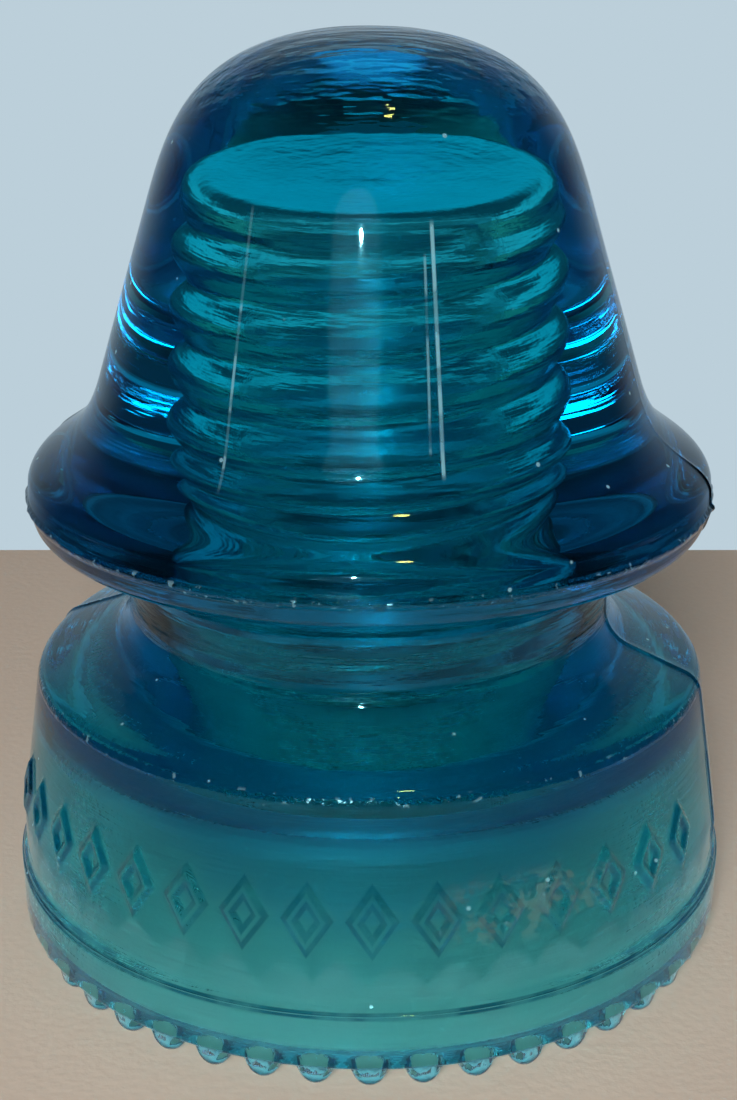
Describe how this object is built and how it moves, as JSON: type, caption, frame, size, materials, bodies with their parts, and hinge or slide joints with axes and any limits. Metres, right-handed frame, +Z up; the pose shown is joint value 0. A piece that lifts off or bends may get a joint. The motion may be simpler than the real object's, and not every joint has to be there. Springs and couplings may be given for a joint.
{
  "type": "pin-type glass insulator",
  "caption": "Domed pressed-glass pin insulator with an umbrella ridge, deep wire groove, hollow double skirt, drip points and a threaded pinhole.",
  "frame": {"origin": "on the pinhole's axis, in the plane of the drip points' flat tips that the insulator stands on", "axes": "+Z up the pinhole's axis, from the skirt's mouth to the crown; -Y is the front that carries the raised band"},
  "size_m": [0.0826, 0.0826, 0.1016],
  "materials": {
    "glass": "smooth pressed soda-lime glass, deep blue-green, slightly wavy, with seeds and small chips"
  },
  "bodies": {
    "root": {"glass_body": "glass"}
  },
  "joints": []
}
